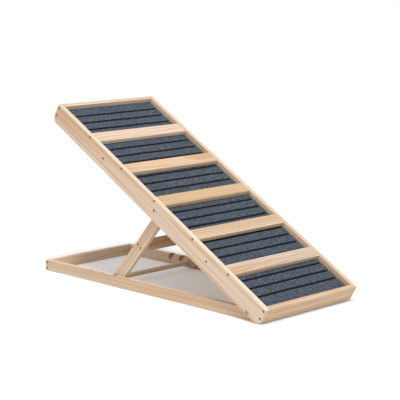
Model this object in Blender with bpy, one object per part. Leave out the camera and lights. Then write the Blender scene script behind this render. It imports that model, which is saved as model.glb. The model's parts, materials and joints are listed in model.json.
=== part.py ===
"""Folding wooden pet ramp: a carpeted deck that turns on a low base frame and stands on a notched prop.

Units are metres, +Z is up.  The low end of the ramp is at +X, the near side at -Y.  The origin is on the
floor, in the middle of the ramp's own footprint.  The ramp is modelled as it stands in use.

Three frames carry the pieces.  The base frame is the world.  The deck frame has its origin on the fold
axis, its X down the slope and its Z out of the walking surface.  The prop frame has its origin on the
prop's own axis, its X from the foot bar to that axis and its Z towards the high end of the ramp.
"""

import math
from dataclasses import dataclass, field

import bmesh
import bpy
from mathutils import Matrix

# Deck
DECK_LENGTH = 1.000
DECK_WIDTH = 0.400
BOARD_THICKNESS = 0.015
SIDE_RAIL_HEIGHT = 0.061
END_RAIL_HEIGHT = 0.047
SIDE_RAIL_CORNER_RADIUS = 0.021
INCLINE = math.radians(29.8)

# Walking surface
SLAT_COUNT = 5
SLAT_WIDTH = 0.044
SLAT_THICKNESS = 0.013
SLAT_PITCH = 0.1614
SLATS_BELOW_CENTRE = 0.0027
SLATS_SCREWED_ABOVE_CENTRE = 3
SLAT_SCREW_OFFSET = 0.010
CARPET_THICKNESS = 0.0035
PANEL_THICKNESS = 0.003
LEDGER_SIZE = 0.015
LEDGER_END_MARGIN = 0.070
LEDGER_SCREW_FROM_END = 0.250

# Fold axis, measured along the side rail from its low end and down from its top edge
FOLD_AXIS_FROM_LOW_END = 0.053
FOLD_AXIS_DEPTH = 0.051

# Base
BASE_LENGTH = 0.909
BASE_RAIL_HEIGHT = 0.034
BASE_END_BEYOND_AXIS = 0.022
BASE_END_RADIUS = 0.014
LOW_CROSS_RAIL_HEIGHT = 0.020
LOW_CROSS_RAIL_SETBACK = 0.002

# Prop, its axis measured up the side rail from the fold axis and down from the rail's top edge
PROP_AXIS_FROM_FOLD_AXIS = 0.440
PROP_AXIS_DEPTH = 0.030
PROP_LENGTH = 0.320
LEG_WIDTH = 0.0355
LEG_EDGE_TO_AXIS = 0.009
LEG_TOP_BEYOND_AXIS = 0.009
LEG_CORNER_RADIUS = 0.013
LEG_FOOT_BEYOND_BAR = 0.0125
LEG_FOOT_CHAMFER_BEFORE_BAR = 0.008
LEG_FOOT_CHAMFER_HEIGHT = 0.013
CROSS_BAR_FROM_AXIS = 0.158
CROSS_BAR_THICKNESS = 0.015
FOOT_BAR_DIAMETER = 0.015
FOOT_BAR_HEIGHT = 0.021

# Notches in the base rails
NOTCH_COUNT = 3
NOTCH_PITCH = 0.0487
NOTCH_WIDTH = 0.0155
NOTCH_DEPTH = 0.007
NOTCH_SLANT = math.radians(54.0)

# Fasteners
SCREW_HEAD_DIAMETER = 0.0075
SCREW_SHANK_DIAMETER = 0.004
SCREW_LENGTH = 0.034
SCREW_RECESS = 0.0003
END_SCREW_SPACING = 0.026
CORNER_SCREW_SPACING = 0.018
LEG_SCREW_SPACING = 0.0148
AXIS_BOLT_DIAMETER = 0.006
AXIS_BOLT_HEAD_DIAMETER = 0.012
AXIS_BOLT_HEAD_HEIGHT = 0.0035
AXIS_NUT_ACROSS_FLATS = 0.010
AXIS_NUT_HEIGHT = 0.005
PROP_BOLT_DIAMETER = 0.005
PROP_BOLT_HEAD_DIAMETER = 0.0095
PROP_BOLT_HEAD_HEIGHT = 0.0018
PROP_NUT_DIAMETER = 0.009
PROP_NUT_HEIGHT = 0.005

# Fits
FACE_GAP = 0.0003
TURNING_GAP = 0.0005
HOLE_GAP = 0.0003
EDGE_ROUNDING = 0.0010

# Roundness
CORNER_SEGMENTS = 10
NUT_SIDES = 6
SCREW_SIDES = 12
BOLT_SIDES = 20
BAR_SIDES = 24
SMOOTH_BELOW = math.radians(35.0)
BROKEN_ABOVE = math.radians(40.0)

NEAR, FAR = -1, 1
SIDE_NAMES = {NEAR: "near", FAR: "far"}


@dataclass(frozen=True)
class Finish:
    """One material of the ramp."""

    name: str
    colour: tuple
    roughness: float
    metallic: float = 0.0

    def material(self):
        """Return the Blender material of this finish, made on first use."""
        found = bpy.data.materials.get(self.name)
        if found:
            return found
        made = bpy.data.materials.new(self.name)
        made.use_nodes = True
        shader = made.node_tree.nodes["Principled BSDF"]
        shader.inputs["Base Color"].default_value = (*self.colour, 1.0)
        shader.inputs["Roughness"].default_value = self.roughness
        shader.inputs["Metallic"].default_value = self.metallic
        made.diffuse_color = (*self.colour, 1.0)
        return made


PINE = Finish("pine", (0.78, 0.60, 0.41), 0.55)
PLYWOOD = Finish("plywood", (0.62, 0.45, 0.28), 0.65)
CARPET = Finish("carpet", (0.075, 0.090, 0.110), 0.95)
DARK_STEEL = Finish("dark_steel", (0.09, 0.075, 0.06), 0.45, 0.9)
BRIGHT_STEEL = Finish("bright_steel", (0.62, 0.64, 0.68), 0.28, 1.0)


# Places worked out from the sizes

FOLD_AXIS_ALONG = DECK_LENGTH - FOLD_AXIS_FROM_LOW_END
PROP_AXIS_ALONG = FOLD_AXIS_ALONG - PROP_AXIS_FROM_FOLD_AXIS
CLEAR_WIDTH = DECK_WIDTH - 2 * BOARD_THICKNESS
BASE_WIDTH = CLEAR_WIDTH - 2 * TURNING_GAP
BASE_INNER_Y = BASE_WIDTH / 2 - BOARD_THICKNESS
LEG_OUTER_Y = BASE_INNER_Y - TURNING_GAP
LEG_INNER_Y = LEG_OUTER_Y - BOARD_THICKNESS
LEDGER_OUTER_Y = CLEAR_WIDTH / 2 - FACE_GAP

CARPET_TOP_DEPTH = SLAT_THICKNESS + FACE_GAP
PANEL_TOP_DEPTH = CARPET_TOP_DEPTH + CARPET_THICKNESS + FACE_GAP
LEDGER_TOP_DEPTH = PANEL_TOP_DEPTH + PANEL_THICKNESS + FACE_GAP
LEDGER_MID_DEPTH = LEDGER_TOP_DEPTH + LEDGER_SIZE / 2

CORNER_LEVEL_ALONG = DECK_LENGTH - SIDE_RAIL_CORNER_RADIUS - FOLD_AXIS_ALONG
CORNER_LEVEL_DEPTH = SIDE_RAIL_HEIGHT - SIDE_RAIL_CORNER_RADIUS - FOLD_AXIS_DEPTH
FOLD_AXIS_Z = (SIDE_RAIL_CORNER_RADIUS
               + CORNER_LEVEL_ALONG * math.sin(INCLINE) + CORNER_LEVEL_DEPTH * math.cos(INCLINE))

LOW_TOP_CORNER_BEYOND_AXIS = ((DECK_LENGTH - FOLD_AXIS_ALONG) * math.cos(INCLINE)
                              + FOLD_AXIS_DEPTH * math.sin(INCLINE))
BASE_START_BEFORE_AXIS = BASE_LENGTH - BASE_END_BEYOND_AXIS
FOLD_AXIS_X = (BASE_START_BEFORE_AXIS - LOW_TOP_CORNER_BEYOND_AXIS) / 2
BASE_START_X = FOLD_AXIS_X - BASE_START_BEFORE_AXIS
BASE_END_X = FOLD_AXIS_X + BASE_END_BEYOND_AXIS

DECK_FRAME = Matrix.Translation((FOLD_AXIS_X, 0.0, FOLD_AXIS_Z)) @ Matrix.Rotation(INCLINE, 4, "Y")


def deck_x(along):
    """Return the deck frame's X of a place this far down the side rail from its high end."""
    return along - FOLD_AXIS_ALONG


def deck_z(depth):
    """Return the deck frame's Z of a place this far below the side rail's top edge."""
    return FOLD_AXIS_DEPTH - depth


PROP_AXIS = DECK_FRAME @ Matrix.Translation((deck_x(PROP_AXIS_ALONG), 0.0, deck_z(PROP_AXIS_DEPTH)))
PROP_AXIS_X, PROP_AXIS_Z = PROP_AXIS.translation.x, PROP_AXIS.translation.z
PROP_ANGLE = math.asin((PROP_AXIS_Z - FOOT_BAR_HEIGHT) / PROP_LENGTH)
FOOT_BAR_X = PROP_AXIS_X - PROP_LENGTH * math.cos(PROP_ANGLE)
PROP_FRAME = Matrix.Translation((PROP_AXIS_X, 0.0, PROP_AXIS_Z)) @ Matrix.Rotation(-PROP_ANGLE, 4, "Y")
LEG_LOWER_EDGE_Z = LEG_EDGE_TO_AXIS - LEG_WIDTH
LEG_MIDDLE_Z = LEG_EDGE_TO_AXIS - LEG_WIDTH / 2


# Mesh building

def arc(centre_x, centre_z, radius, start, end, segments=CORNER_SEGMENTS):
    """Return points on an arc in the XZ plane, its angles in degrees from +X towards +Z."""
    points = []
    for step in range(segments + 1):
        angle = math.radians(start + (end - start) * step / segments)
        points.append((centre_x + radius * math.cos(angle), centre_z + radius * math.sin(angle)))
    return points


def prism(outline, y_start, y_end):
    """Return a mesh: an outline of (x, z) points, anticlockwise from -Y, run from one Y to another."""
    mesh = bpy.data.meshes.new("prism")
    builder = bmesh.new()
    front = builder.faces.new([builder.verts.new((x, y_start, z)) for x, z in outline])
    swept = bmesh.ops.extrude_face_region(builder, geom=[front], use_keep_orig=True)
    moved = [item for item in swept["geom"] if isinstance(item, bmesh.types.BMVert)]
    bmesh.ops.translate(builder, verts=moved, vec=(0.0, y_end - y_start, 0.0))
    bmesh.ops.recalc_face_normals(builder, faces=builder.faces)
    builder.to_mesh(mesh)
    builder.free()
    return mesh


def box(x_start, x_end, y_start, y_end, z_start, z_end):
    """Return a mesh: a block between the six given planes."""
    outline = [(x_start, z_start), (x_end, z_start), (x_end, z_end), (x_start, z_end)]
    return prism(outline, y_start, y_end)


def turned(profile, sides, x=0.0, z=0.0):
    """Return a mesh: a profile of (radius, y) points, turned about the line through (x, z) along Y.

    A radius of zero closes an end on the axis.
    """
    mesh = bpy.data.meshes.new("turned")
    builder = bmesh.new()
    rings = []
    for radius, y in profile:
        count = 1 if radius == 0.0 else sides
        ring = []
        for step in range(count):
            angle = 2 * math.pi * step / sides
            ring.append(builder.verts.new((x + radius * math.cos(angle), y, z + radius * math.sin(angle))))
        rings.append(ring)
    for first, second in zip(rings, rings[1:]):
        join_rings(builder, first, second, sides)
    bmesh.ops.recalc_face_normals(builder, faces=builder.faces)
    builder.to_mesh(mesh)
    builder.free()
    return mesh


def join_rings(builder, first, second, sides):
    """Fill the band between two rings of a turned shape, either of which may be a single point."""
    for step in range(sides):
        after = (step + 1) % sides
        corners = [first[step % len(first)], first[after % len(first)],
                   second[after % len(second)], second[step % len(second)]]
        kept = [vert for place, vert in enumerate(corners) if vert not in corners[:place]]
        builder.faces.new(kept)


def merged(meshes):
    """Return one mesh that holds the separate closed bodies of several."""
    mesh = bpy.data.meshes.new("merged")
    builder = bmesh.new()
    for piece in meshes:
        builder.from_mesh(piece)
        bpy.data.meshes.remove(piece)
    builder.to_mesh(mesh)
    builder.free()
    return mesh


@dataclass
class Piece:
    """One named piece: its Blender object and the tools that will be cut out of it."""

    thing: bpy.types.Object
    tools: list = field(default_factory=list)

    def cut(self):
        """Cut every tool out of the piece with one Boolean."""
        if not self.tools:
            return
        cutter = bpy.data.objects.new(self.thing.name + "_cutter", merged(self.tools))
        bpy.context.scene.collection.objects.link(cutter)
        cutter.parent = self.thing.parent
        cutter.display_type = "WIRE"
        cutter.hide_render = True
        holes = self.thing.modifiers.new("holes", "BOOLEAN")
        holes.operation = "DIFFERENCE"
        holes.solver = "EXACT"
        holes.object = cutter


class Assembly:
    """A group of pieces that move together, under one empty that stands on their joint's axis."""

    def __init__(self, name, frame):
        self.origin = bpy.data.objects.new(name + "_frame", None)
        bpy.context.scene.collection.objects.link(self.origin)
        self.origin.matrix_world = frame
        self.pieces = []

    def add(self, name, mesh, finish, rounding=0.0, smooth=False):
        """Add a piece whose mesh is in the assembly's own frame.

        Args:
            name: the piece's name.
            mesh: its closed mesh.
            finish: its Finish.
            rounding: how wide its long edges are broken, zero for none.
            smooth: whether it is a round piece, shaded smooth.

        Returns:
            The Piece, which holes can be cut in.
        """
        mesh.name = name
        mesh.materials.append(finish.material())
        thing = bpy.data.objects.new(name, mesh)
        bpy.context.scene.collection.objects.link(thing)
        thing.parent = self.origin
        if smooth:
            mesh.shade_smooth()
            mesh.set_sharp_from_angle(angle=SMOOTH_BELOW)
        if rounding:
            bevel = thing.modifiers.new("broken edges", "BEVEL")
            bevel.width = rounding
            bevel.segments = 1
            bevel.limit_method = "ANGLE"
            bevel.angle_limit = BROKEN_ABOVE
        piece = Piece(thing)
        self.pieces.append(piece)
        return piece

    def finish_cuts(self):
        """Cut the holes and notches of every piece."""
        for piece in self.pieces:
            piece.cut()


# Fasteners, all along Y; side is NEAR or FAR, and face_y the outer face's distance from the middle

def screw_profile(face_y, side, length, grow=0.0):
    """Return the turned profile of a countersunk screw, or of its hole where grow is the gap around it."""
    head = SCREW_HEAD_DIAMETER / 2 + grow
    shank = SCREW_SHANK_DIAMETER / 2 + grow
    top = face_y - SCREW_RECESS
    cone_end = top - (SCREW_HEAD_DIAMETER - SCREW_SHANK_DIAMETER) / 2
    tip = face_y - length
    points = [(0.0, top), (head, top), (shank, cone_end), (shank, tip + shank), (0.0, tip)]
    if grow:
        beyond = face_y + EDGE_ROUNDING
        points = [(0.0, beyond), (head, beyond), (head, top), (shank, cone_end), (shank, tip),
                  (0.0, tip - grow)]
    return [(radius, side * y) for radius, y in points]


def add_screw(assembly, name, x, z, side, face_y, pieces, length=SCREW_LENGTH):
    """Add a countersunk screw through an outer face and make its hole in every piece that it passes."""
    for piece in pieces:
        piece.tools.append(turned(screw_profile(face_y, side, length, HOLE_GAP), SCREW_SIDES, x, z))
    mesh = turned(screw_profile(face_y, side, length), SCREW_SIDES, x, z)
    assembly.add(name, mesh, DARK_STEEL, smooth=True)


def plain_hole(x, z, diameter, side, y_start, y_end):
    """Return the tool of a plain round hole between two distances from the middle."""
    radius = diameter / 2 + HOLE_GAP
    profile = [(0.0, side * y_start), (radius, side * y_start), (radius, side * y_end), (0.0, side * y_end)]
    return turned(profile, BOLT_SIDES, x, z)


def domed_head(face_y, diameter, height):
    """Return the profile of a domed bolt head, from its crown to its underside."""
    seat = face_y + FACE_GAP
    crown = (0.28 * diameter, seat + 0.85 * height)
    shoulder = (0.44 * diameter, seat + 0.45 * height)
    return [(0.0, seat + height), crown, shoulder, (diameter / 2, seat)]


# Deck

def side_rail_outline():
    """Return the side rail's outline in the deck frame: square at the top, round at its lower corners."""
    start, end = deck_x(0.0), deck_x(DECK_LENGTH)
    top, bottom = deck_z(0.0), deck_z(SIDE_RAIL_HEIGHT)
    radius = SIDE_RAIL_CORNER_RADIUS
    return (arc(start + radius, bottom + radius, radius, 180, 270)
            + arc(end - radius, bottom + radius, radius, 270, 360)
            + [(end, top), (start, top)])


def slat_centre(index):
    """Return how far down the deck the middle of a slat lies, the slats being nearly centred on it."""
    return DECK_LENGTH / 2 + SLATS_BELOW_CENTRE + (index - (SLAT_COUNT - 1) / 2) * SLAT_PITCH


def build_deck():
    """Make the deck: rails, slats, carpet, its panel, the ledgers and all their screws."""
    deck = Assembly("deck", DECK_FRAME)
    inner_y = CLEAR_WIDTH / 2 - FACE_GAP
    outer_y = DECK_WIDTH / 2
    end_inset = BOARD_THICKNESS + FACE_GAP

    rails = {}
    for side in (NEAR, FAR):
        y_inner, y_outer = side * CLEAR_WIDTH / 2, side * outer_y
        mesh = prism(side_rail_outline(), min(y_inner, y_outer), max(y_inner, y_outer))
        rails[side] = deck.add(f"deck_side_rail_{SIDE_NAMES[side]}", mesh, PINE, EDGE_ROUNDING)

    ends = {}
    for name, start in (("high", 0.0), ("low", DECK_LENGTH - BOARD_THICKNESS)):
        mesh = box(deck_x(start), deck_x(start + BOARD_THICKNESS), -inner_y, inner_y,
                   deck_z(END_RAIL_HEIGHT), deck_z(0.0))
        ends[name] = deck.add(f"deck_end_rail_{name}", mesh, PINE, EDGE_ROUNDING)
        for side in (NEAR, FAR):
            for place, sign in (("upper", -1), ("lower", 1)):
                depth = END_RAIL_HEIGHT / 2 + sign * END_SCREW_SPACING / 2
                add_screw(deck, f"deck_{name}_end_screw_{SIDE_NAMES[side]}_{place}",
                          deck_x(start + BOARD_THICKNESS / 2), deck_z(depth), side, outer_y,
                          (rails[side], ends[name]))

    for index in range(SLAT_COUNT):
        centre = slat_centre(index)
        mesh = box(deck_x(centre - SLAT_WIDTH / 2), deck_x(centre + SLAT_WIDTH / 2), -inner_y, inner_y,
                   deck_z(SLAT_THICKNESS), deck_z(0.0))
        slat = deck.add(f"deck_slat_{index + 1}", mesh, PINE, EDGE_ROUNDING)
        sign = -1 if index < SLATS_SCREWED_ABOVE_CENTRE else 1
        for side in (NEAR, FAR):
            add_screw(deck, f"deck_slat_{index + 1}_screw_{SIDE_NAMES[side]}",
                      deck_x(centre + sign * SLAT_SCREW_OFFSET), deck_z(SLAT_THICKNESS / 2), side, outer_y,
                      (rails[side], slat))

    start, end = deck_x(end_inset), deck_x(DECK_LENGTH - end_inset)
    deck.add("deck_carpet", box(start, end, -inner_y, inner_y, deck_z(CARPET_TOP_DEPTH + CARPET_THICKNESS),
                                deck_z(CARPET_TOP_DEPTH)), CARPET)
    deck.add("deck_panel", box(start, end, -inner_y, inner_y, deck_z(PANEL_TOP_DEPTH + PANEL_THICKNESS),
                               deck_z(PANEL_TOP_DEPTH)), PLYWOOD)

    ledger_end = deck_x(DECK_LENGTH - LEDGER_END_MARGIN)
    bolt_x, bolt_z = deck_x(PROP_AXIS_ALONG), deck_z(PROP_AXIS_DEPTH)
    for side in (NEAR, FAR):
        y_outer, y_inner = side * LEDGER_OUTER_Y, side * (LEDGER_OUTER_Y - LEDGER_SIZE)
        mesh = box(start, ledger_end, min(y_inner, y_outer), max(y_inner, y_outer),
                   deck_z(LEDGER_TOP_DEPTH + LEDGER_SIZE), deck_z(LEDGER_TOP_DEPTH))
        ledger = deck.add(f"deck_ledger_{SIDE_NAMES[side]}", mesh, PINE, EDGE_ROUNDING)
        for place, along in (("high", LEDGER_SCREW_FROM_END), ("low", DECK_LENGTH - LEDGER_SCREW_FROM_END)):
            add_screw(deck, f"deck_ledger_screw_{SIDE_NAMES[side]}_{place}",
                      deck_x(along), deck_z(LEDGER_MID_DEPTH), side, outer_y, (rails[side], ledger),
                      length=BOARD_THICKNESS + LEDGER_SIZE - EDGE_ROUNDING)
        for piece in (rails[side], ledger):
            piece.tools.append(plain_hole(bolt_x, bolt_z, PROP_BOLT_DIAMETER, side,
                                          LEG_OUTER_Y, outer_y + EDGE_ROUNDING))
        deck.add(f"prop_axis_bolt_{SIDE_NAMES[side]}", prop_bolt(bolt_x, bolt_z, side), DARK_STEEL,
                 smooth=True)
        rails[side].tools.append(plain_hole(0.0, 0.0, AXIS_BOLT_DIAMETER, side,
                                            BASE_WIDTH / 2, outer_y + EDGE_ROUNDING))

    deck.finish_cuts()


def prop_bolt(x, z, side):
    """Return the mesh of a bolt that the prop turns on: its flat head outside, its nut inside the leg."""
    shank, nut = PROP_BOLT_DIAMETER / 2, PROP_NUT_DIAMETER / 2
    nut_face = LEG_INNER_Y - FACE_GAP
    nut_end = nut_face - PROP_NUT_HEIGHT
    profile = domed_head(DECK_WIDTH / 2, PROP_BOLT_HEAD_DIAMETER, PROP_BOLT_HEAD_HEIGHT)
    profile += [(shank, DECK_WIDTH / 2 + FACE_GAP), (shank, nut_face), (nut, nut_face), (nut, nut_end),
                (0.0, nut_end)]
    return turned([(radius, side * y) for radius, y in profile], BOLT_SIDES, x, z)


# Base

def base_rail_outline():
    """Return a base side rail's outline: square at its start, round at the end that the deck turns on."""
    radius = BASE_END_RADIUS
    return ([(BASE_START_X, BASE_RAIL_HEIGHT), (BASE_START_X, 0.0)]
            + arc(BASE_END_X - radius, radius, radius, 270, 360)
            + arc(BASE_END_X - radius, BASE_RAIL_HEIGHT - radius, radius, 0, 90))


def notch_tool(index, side):
    """Return the tool of one slanted notch, blind from the rail's inner face and open at its top."""
    radius = NOTCH_WIDTH / 2
    low_x, low_z = FOOT_BAR_X - index * NOTCH_PITCH, FOOT_BAR_HEIGHT
    reach = BASE_RAIL_HEIGHT / math.sin(NOTCH_SLANT)
    high_x, high_z = low_x + reach * math.cos(NOTCH_SLANT), low_z + reach * math.sin(NOTCH_SLANT)
    slant = math.degrees(NOTCH_SLANT)
    outline = arc(low_x, low_z, radius, slant + 90, slant + 270)
    outline += [(high_x + radius * math.sin(NOTCH_SLANT), high_z - radius * math.cos(NOTCH_SLANT)),
                (high_x - radius * math.sin(NOTCH_SLANT), high_z + radius * math.cos(NOTCH_SLANT))]
    y_ends = sorted((side * (BASE_INNER_Y - EDGE_ROUNDING), side * (BASE_INNER_Y + NOTCH_DEPTH)))
    return prism(outline, *y_ends)


def build_base():
    """Make the base: two notched side rails, two cross rails, their screws and the fold axis's bolts."""
    base = Assembly("base", Matrix.Identity(4))
    outer_y = BASE_WIDTH / 2
    inner_y = BASE_INNER_Y - FACE_GAP

    rails = {}
    for side in (NEAR, FAR):
        y_ends = sorted((side * BASE_INNER_Y, side * outer_y))
        rails[side] = base.add(f"base_side_rail_{SIDE_NAMES[side]}", prism(base_rail_outline(), *y_ends),
                               PINE, EDGE_ROUNDING)
        for index in range(NOTCH_COUNT):
            rails[side].tools.append(notch_tool(index, side))
        rails[side].tools.append(plain_hole(FOLD_AXIS_X, FOLD_AXIS_Z, AXIS_BOLT_DIAMETER, side,
                                            BASE_INNER_Y - EDGE_ROUNDING, CLEAR_WIDTH / 2))

    high_rail = base.add("base_cross_rail_high", box(BASE_START_X, BASE_START_X + BOARD_THICKNESS,
                                                     -inner_y, inner_y, 0.0, BASE_RAIL_HEIGHT),
                         PINE, EDGE_ROUNDING)
    low_start = BASE_END_X - LOW_CROSS_RAIL_SETBACK - BOARD_THICKNESS
    low_rail = base.add("base_cross_rail_low", box(low_start, low_start + BOARD_THICKNESS,
                                                   -inner_y, inner_y, 0.0, LOW_CROSS_RAIL_HEIGHT),
                        PINE, EDGE_ROUNDING)
    for side in (NEAR, FAR):
        name = SIDE_NAMES[side]
        for place, sign in (("upper", 1), ("lower", -1)):
            height = BASE_RAIL_HEIGHT / 2 + sign * CORNER_SCREW_SPACING / 2
            add_screw(base, f"base_corner_screw_{name}_{place}", BASE_START_X + BOARD_THICKNESS / 2, height,
                      side, outer_y, (rails[side], high_rail))
        add_screw(base, f"base_cross_screw_{name}", low_start + BOARD_THICKNESS / 2,
                  LOW_CROSS_RAIL_HEIGHT / 2, side, outer_y, (rails[side], low_rail))
        base.add(f"fold_axis_bolt_{name}", axis_bolt(side), BRIGHT_STEEL, smooth=True)
        nut = base.add(f"fold_axis_nut_{name}", axis_nut(side), BRIGHT_STEEL)
        nut.tools.append(plain_hole(FOLD_AXIS_X, FOLD_AXIS_Z, AXIS_BOLT_DIAMETER, side,
                                    BASE_INNER_Y - 2 * AXIS_NUT_HEIGHT, BASE_INNER_Y + EDGE_ROUNDING))

    base.finish_cuts()


def axis_bolt(side):
    """Return the mesh of a bolt that the deck folds on, with its domed head outside the deck's rail."""
    shank = AXIS_BOLT_DIAMETER / 2
    tip = BASE_INNER_Y - FACE_GAP - AXIS_NUT_HEIGHT - EDGE_ROUNDING
    profile = domed_head(DECK_WIDTH / 2, AXIS_BOLT_HEAD_DIAMETER, AXIS_BOLT_HEAD_HEIGHT)
    profile += [(shank, DECK_WIDTH / 2 + FACE_GAP), (shank, tip + EDGE_ROUNDING / 2),
                (shank - EDGE_ROUNDING / 2, tip), (0.0, tip)]
    return turned([(radius, side * y) for radius, y in profile], BOLT_SIDES, FOLD_AXIS_X, FOLD_AXIS_Z)


def axis_nut(side):
    """Return the mesh of the six-sided nut on a fold axis bolt, seated on the base rail's inner face."""
    radius = AXIS_NUT_ACROSS_FLATS / math.sqrt(3)
    face = BASE_INNER_Y - FACE_GAP
    profile = [(0.0, face), (radius, face), (radius, face - AXIS_NUT_HEIGHT), (0.0, face - AXIS_NUT_HEIGHT)]
    return turned([(r, side * y) for r, y in profile], NUT_SIDES, FOLD_AXIS_X, FOLD_AXIS_Z)


# Prop

def leg_outline():
    """Return a leg's outline in the prop frame: round at the axis, its foot cut to clear the floor."""
    top_edge, low_edge = LEG_EDGE_TO_AXIS, LEG_LOWER_EDGE_Z
    top_end = LEG_TOP_BEYOND_AXIS
    foot_end = -PROP_LENGTH - LEG_FOOT_BEYOND_BAR
    chamfer_start = (foot_end, low_edge + LEG_FOOT_CHAMFER_HEIGHT)
    chamfer_end = (-PROP_LENGTH + LEG_FOOT_CHAMFER_BEFORE_BAR, low_edge)
    corner = LEG_CORNER_RADIUS
    return ([(foot_end, top_edge), chamfer_start, chamfer_end]
            + arc(top_end - corner, low_edge + corner, corner, 270, 360)
            + arc(top_end - LEG_EDGE_TO_AXIS, 0.0, LEG_EDGE_TO_AXIS, 0, 90))


def build_prop():
    """Make the prop: two legs, the cross bar between them, the foot bar and the cross bar's screws."""
    prop = Assembly("prop", PROP_FRAME)
    bar_x = -CROSS_BAR_FROM_AXIS
    legs = {}
    for side in (NEAR, FAR):
        y_ends = sorted((side * LEG_INNER_Y, side * LEG_OUTER_Y))
        legs[side] = prop.add(f"prop_leg_{SIDE_NAMES[side]}", prism(leg_outline(), *y_ends),
                              PINE, EDGE_ROUNDING)
        legs[side].tools.append(plain_hole(0.0, 0.0, PROP_BOLT_DIAMETER, side,
                                           LEG_INNER_Y - EDGE_ROUNDING, LEG_OUTER_Y + EDGE_ROUNDING))
        legs[side].tools.append(plain_hole(-PROP_LENGTH, 0.0, FOOT_BAR_DIAMETER, side,
                                           LEG_INNER_Y - EDGE_ROUNDING, LEG_OUTER_Y + EDGE_ROUNDING))

    bar_y = LEG_INNER_Y - FACE_GAP
    half_bar = CROSS_BAR_THICKNESS / 2
    cross_bar = prop.add("prop_cross_bar", box(bar_x - half_bar, bar_x + half_bar, -bar_y, bar_y,
                                               LEG_LOWER_EDGE_Z, LEG_EDGE_TO_AXIS), PINE, EDGE_ROUNDING)
    radius, end = FOOT_BAR_DIAMETER / 2, LEG_OUTER_Y
    profile = [(0.0, -end), (radius - EDGE_ROUNDING, -end), (radius, -end + EDGE_ROUNDING),
               (radius, end - EDGE_ROUNDING), (radius - EDGE_ROUNDING, end), (0.0, end)]
    prop.add("prop_foot_bar", turned(profile, BAR_SIDES, -PROP_LENGTH, 0.0), PINE, smooth=True)
    for side in (NEAR, FAR):
        for place, sign in (("upper", 1), ("lower", -1)):
            add_screw(prop, f"prop_leg_screw_{SIDE_NAMES[side]}_{place}", bar_x,
                      LEG_MIDDLE_Z + sign * LEG_SCREW_SPACING / 2, side, LEG_OUTER_Y, (legs[side], cross_bar))
    prop.finish_cuts()


def main():
    """Build the whole ramp in an empty scene."""
    for thing in list(bpy.data.objects):
        bpy.data.objects.remove(thing, do_unlink=True)
    build_base()
    build_deck()
    build_prop()
    bpy.context.view_layer.update()


main()
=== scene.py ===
"""Looks of a folding wooden pet ramp: pine boards, a ribbed felt carpet, countersunk screws and bolts."""

import json
import logging
import math
import random
from dataclasses import dataclass, field
from enum import Enum
from functools import reduce
from typing import Any, Iterable, Sequence, Union

import bmesh
import bpy
from bpy.types import Material, Node, NodeTree, Object
from bpy.types import NodeSocket as Socket
from mathutils import Euler, Matrix, Vector

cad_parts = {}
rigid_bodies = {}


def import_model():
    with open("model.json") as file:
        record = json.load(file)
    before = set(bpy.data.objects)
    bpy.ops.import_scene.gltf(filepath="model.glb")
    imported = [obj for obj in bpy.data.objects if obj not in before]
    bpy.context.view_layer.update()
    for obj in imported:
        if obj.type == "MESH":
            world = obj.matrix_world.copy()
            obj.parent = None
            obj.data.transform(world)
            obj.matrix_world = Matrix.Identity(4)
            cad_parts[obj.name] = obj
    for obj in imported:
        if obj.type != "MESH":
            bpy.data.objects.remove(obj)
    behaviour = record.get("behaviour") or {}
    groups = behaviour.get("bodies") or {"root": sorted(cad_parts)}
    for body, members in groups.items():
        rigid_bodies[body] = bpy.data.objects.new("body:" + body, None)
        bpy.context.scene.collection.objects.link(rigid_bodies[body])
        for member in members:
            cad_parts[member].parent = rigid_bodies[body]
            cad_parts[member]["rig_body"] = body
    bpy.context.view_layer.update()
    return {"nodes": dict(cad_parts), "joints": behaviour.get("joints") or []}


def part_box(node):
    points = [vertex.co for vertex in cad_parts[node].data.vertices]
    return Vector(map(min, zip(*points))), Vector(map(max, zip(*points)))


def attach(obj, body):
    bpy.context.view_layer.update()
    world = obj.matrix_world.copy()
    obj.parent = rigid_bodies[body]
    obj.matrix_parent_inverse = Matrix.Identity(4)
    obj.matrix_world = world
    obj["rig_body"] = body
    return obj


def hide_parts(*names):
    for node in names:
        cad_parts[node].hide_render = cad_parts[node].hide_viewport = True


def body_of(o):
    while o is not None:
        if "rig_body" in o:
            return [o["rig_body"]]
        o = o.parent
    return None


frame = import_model()

LOG = logging.getLogger("pet_ramp")
MM = 0.001

Value = Union[Socket, float, int, Sequence[float]]
Span = tuple[float, float]
Spot = tuple[float, float, float]
Colour = tuple[float, float, float]
BLACK: Colour = (0.0, 0.0, 0.0)
WHITE: Colour = (1.0, 1.0, 1.0)
USUAL_NOISE: Span = (0.30, 0.70)
UNEVEN: Span = (-0.06, 0.10)
SAME_SPOT = 1e-7


class Side(Enum):
    """Which long side of the ramp, by the sign of its Y."""

    NEAR = -1
    FAR = 1


class Grain(Enum):
    """Which way a board's grain runs."""

    SLOPE = "down the deck"
    ACROSS = "from side to side"
    BASE = "along the base"
    LEG = "along a prop leg"


class Recess(Enum):
    """What a driver turns a screw or bolt by."""

    CROSS = "cross"
    HEXAGON = "hexagon"


# Node trees

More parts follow.
